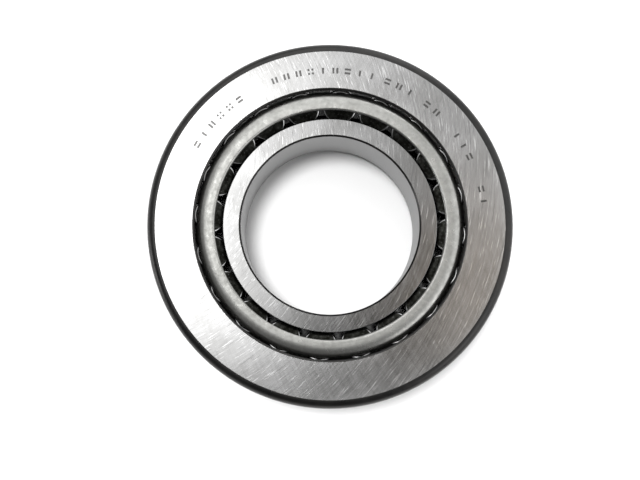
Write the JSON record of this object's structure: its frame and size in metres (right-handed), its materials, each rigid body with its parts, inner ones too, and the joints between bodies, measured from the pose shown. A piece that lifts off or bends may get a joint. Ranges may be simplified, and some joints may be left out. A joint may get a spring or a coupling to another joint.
{
  "type": "tapered roller bearing",
  "caption": "Single-row tapered roller bearing: ground steel cup and cone, pressed steel cage and a row of tapered rollers that roll between them.",
  "frame": {"origin": "centre of the cone's back face, on the bearing's axis; the bearing lies on that face", "axes": "+Z along the bearing's axis, from the cone's back face to the cup's back face; X and Y square to it, with the first roller 13.3 degrees from +X"},
  "size_m": [0.092, 0.092, 0.0294],
  "materials": {
    "cup_steel": "ground on its faces and outside, black scale left on the back corner",
    "cone_steel": "ground",
    "roller_steel": "superfinished",
    "cage_steel": "pressed and tumbled, satin"
  },
  "bodies": {
    "cone": {"cone": "cone_steel"},
    "cup": {"cup": "cup_steel"},
    "cage": {"cage": "cage_steel"},
    "roller_01": {"roller_01": "roller_steel"},
    "roller_02": {"roller_02": "roller_steel"},
    "roller_03": {"roller_03": "roller_steel"},
    "roller_04": {"roller_04": "roller_steel"},
    "roller_05": {"roller_05": "roller_steel"},
    "roller_06": {"roller_06": "roller_steel"},
    "roller_07": {"roller_07": "roller_steel"},
    "roller_08": {"roller_08": "roller_steel"},
    "roller_09": {"roller_09": "roller_steel"},
    "roller_10": {"roller_10": "roller_steel"},
    "roller_11": {"roller_11": "roller_steel"},
    "roller_12": {"roller_12": "roller_steel"},
    "roller_13": {"roller_13": "roller_steel"},
    "roller_14": {"roller_14": "roller_steel"},
    "roller_15": {"roller_15": "roller_steel"},
    "roller_16": {"roller_16": "roller_steel"},
    "roller_17": {"roller_17": "roller_steel"},
    "roller_18": {"roller_18": "roller_steel"},
    "roller_19": {"roller_19": "roller_steel"},
    "roller_20": {"roller_20": "roller_steel"}
  },
  "joints": [
    {"name": "cup_spin", "type": "hinge", "parent": "cone", "child": "cup", "pos_m": [0, 0, 0.01827], "axis": [0, 0, 1], "continuous": true},
    {"name": "cage_spin", "type": "hinge", "parent": "cone", "child": "cage", "pos_m": [0, 0, 0.0166], "axis": [0, 0, 1], "continuous": true},
    {"name": "roller_01_spin", "type": "hinge", "parent": "cage", "child": "roller_01", "pos_m": [0.03237, 0.00765, 0.01634], "axis": [-0.2943, -0.0696, 0.9532], "continuous": true},
    {"name": "roller_02_spin", "type": "hinge", "parent": "cage", "child": "roller_02", "pos_m": [0.02842, 0.01728, 0.01634], "axis": [-0.2584, -0.1571, 0.9532], "continuous": true},
    {"name": "roller_03_spin", "type": "hinge", "parent": "cage", "child": "roller_03", "pos_m": [0.02169, 0.02522, 0.01634], "axis": [-0.1972, -0.2292, 0.9532], "continuous": true},
    {"name": "roller_04_spin", "type": "hinge", "parent": "cage", "child": "roller_04", "pos_m": [0.01284, 0.03068, 0.01634], "axis": [-0.1167, -0.2789, 0.9532], "continuous": true},
    {"name": "roller_05_spin", "type": "hinge", "parent": "cage", "child": "roller_05", "pos_m": [0.00273, 0.03315, 0.01634], "axis": [-0.0248, -0.3014, 0.9532], "continuous": true},
    {"name": "roller_06_spin", "type": "hinge", "parent": "cage", "child": "roller_06", "pos_m": [-0.00765, 0.03237, 0.01634], "axis": [0.0696, -0.2943, 0.9532], "continuous": true},
    {"name": "roller_07_spin", "type": "hinge", "parent": "cage", "child": "roller_07", "pos_m": [-0.01728, 0.02842, 0.01634], "axis": [0.1571, -0.2584, 0.9532], "continuous": true},
    {"name": "roller_08_spin", "type": "hinge", "parent": "cage", "child": "roller_08", "pos_m": [-0.02522, 0.02169, 0.01634], "axis": [0.2292, -0.1972, 0.9532], "continuous": true},
    {"name": "roller_09_spin", "type": "hinge", "parent": "cage", "child": "roller_09", "pos_m": [-0.03068, 0.01284, 0.01634], "axis": [0.2789, -0.1167, 0.9532], "continuous": true},
    {"name": "roller_10_spin", "type": "hinge", "parent": "cage", "child": "roller_10", "pos_m": [-0.03315, 0.00273, 0.01634], "axis": [0.3014, -0.0248, 0.9532], "continuous": true},
    {"name": "roller_11_spin", "type": "hinge", "parent": "cage", "child": "roller_11", "pos_m": [-0.03237, -0.00765, 0.01634], "axis": [0.2943, 0.0696, 0.9532], "continuous": true},
    {"name": "roller_12_spin", "type": "hinge", "parent": "cage", "child": "roller_12", "pos_m": [-0.02842, -0.01728, 0.01634], "axis": [0.2584, 0.1571, 0.9532], "continuous": true},
    {"name": "roller_13_spin", "type": "hinge", "parent": "cage", "child": "roller_13", "pos_m": [-0.02169, -0.02522, 0.01634], "axis": [0.1972, 0.2292, 0.9532], "continuous": true},
    {"name": "roller_14_spin", "type": "hinge", "parent": "cage", "child": "roller_14", "pos_m": [-0.01284, -0.03068, 0.01634], "axis": [0.1167, 0.2789, 0.9532], "continuous": true},
    {"name": "roller_15_spin", "type": "hinge", "parent": "cage", "child": "roller_15", "pos_m": [-0.00273, -0.03315, 0.01634], "axis": [0.0248, 0.3014, 0.9532], "continuous": true},
    {"name": "roller_16_spin", "type": "hinge", "parent": "cage", "child": "roller_16", "pos_m": [0.00765, -0.03237, 0.01634], "axis": [-0.0696, 0.2943, 0.9532], "continuous": true},
    {"name": "roller_17_spin", "type": "hinge", "parent": "cage", "child": "roller_17", "pos_m": [0.01728, -0.02842, 0.01634], "axis": [-0.1571, 0.2584, 0.9532], "continuous": true},
    {"name": "roller_18_spin", "type": "hinge", "parent": "cage", "child": "roller_18", "pos_m": [0.02522, -0.02169, 0.01634], "axis": [-0.2292, 0.1972, 0.9532], "continuous": true},
    {"name": "roller_19_spin", "type": "hinge", "parent": "cage", "child": "roller_19", "pos_m": [0.03068, -0.01284, 0.01634], "axis": [-0.2789, 0.1167, 0.9532], "continuous": true},
    {"name": "roller_20_spin", "type": "hinge", "parent": "cage", "child": "roller_20", "pos_m": [0.03315, -0.00273, 0.01634], "axis": [-0.3014, 0.0248, 0.9532], "continuous": true}
  ],
  "couplings": [
    {"joint": "cage_spin", "follows": "cup_spin", "ratio": 0.56882},
    {"joint": "roller_01_spin", "follows": "cup_spin", "ratio": 3.3971},
    {"joint": "roller_02_spin", "follows": "cup_spin", "ratio": 3.3971},
    {"joint": "roller_03_spin", "follows": "cup_spin", "ratio": 3.3971},
    {"joint": "roller_04_spin", "follows": "cup_spin", "ratio": 3.3971},
    {"joint": "roller_05_spin", "follows": "cup_spin", "ratio": 3.3971},
    {"joint": "roller_06_spin", "follows": "cup_spin", "ratio": 3.3971},
    {"joint": "roller_07_spin", "follows": "cup_spin", "ratio": 3.3971},
    {"joint": "roller_08_spin", "follows": "cup_spin", "ratio": 3.3971},
    {"joint": "roller_09_spin", "follows": "cup_spin", "ratio": 3.3971},
    {"joint": "roller_10_spin", "follows": "cup_spin", "ratio": 3.3971},
    {"joint": "roller_11_spin", "follows": "cup_spin", "ratio": 3.3971},
    {"joint": "roller_12_spin", "follows": "cup_spin", "ratio": 3.3971},
    {"joint": "roller_13_spin", "follows": "cup_spin", "ratio": 3.3971},
    {"joint": "roller_14_spin", "follows": "cup_spin", "ratio": 3.3971},
    {"joint": "roller_15_spin", "follows": "cup_spin", "ratio": 3.3971},
    {"joint": "roller_16_spin", "follows": "cup_spin", "ratio": 3.3971},
    {"joint": "roller_17_spin", "follows": "cup_spin", "ratio": 3.3971},
    {"joint": "roller_18_spin", "follows": "cup_spin", "ratio": 3.3971},
    {"joint": "roller_19_spin", "follows": "cup_spin", "ratio": 3.3971},
    {"joint": "roller_20_spin", "follows": "cup_spin", "ratio": 3.3971}
  ]
}
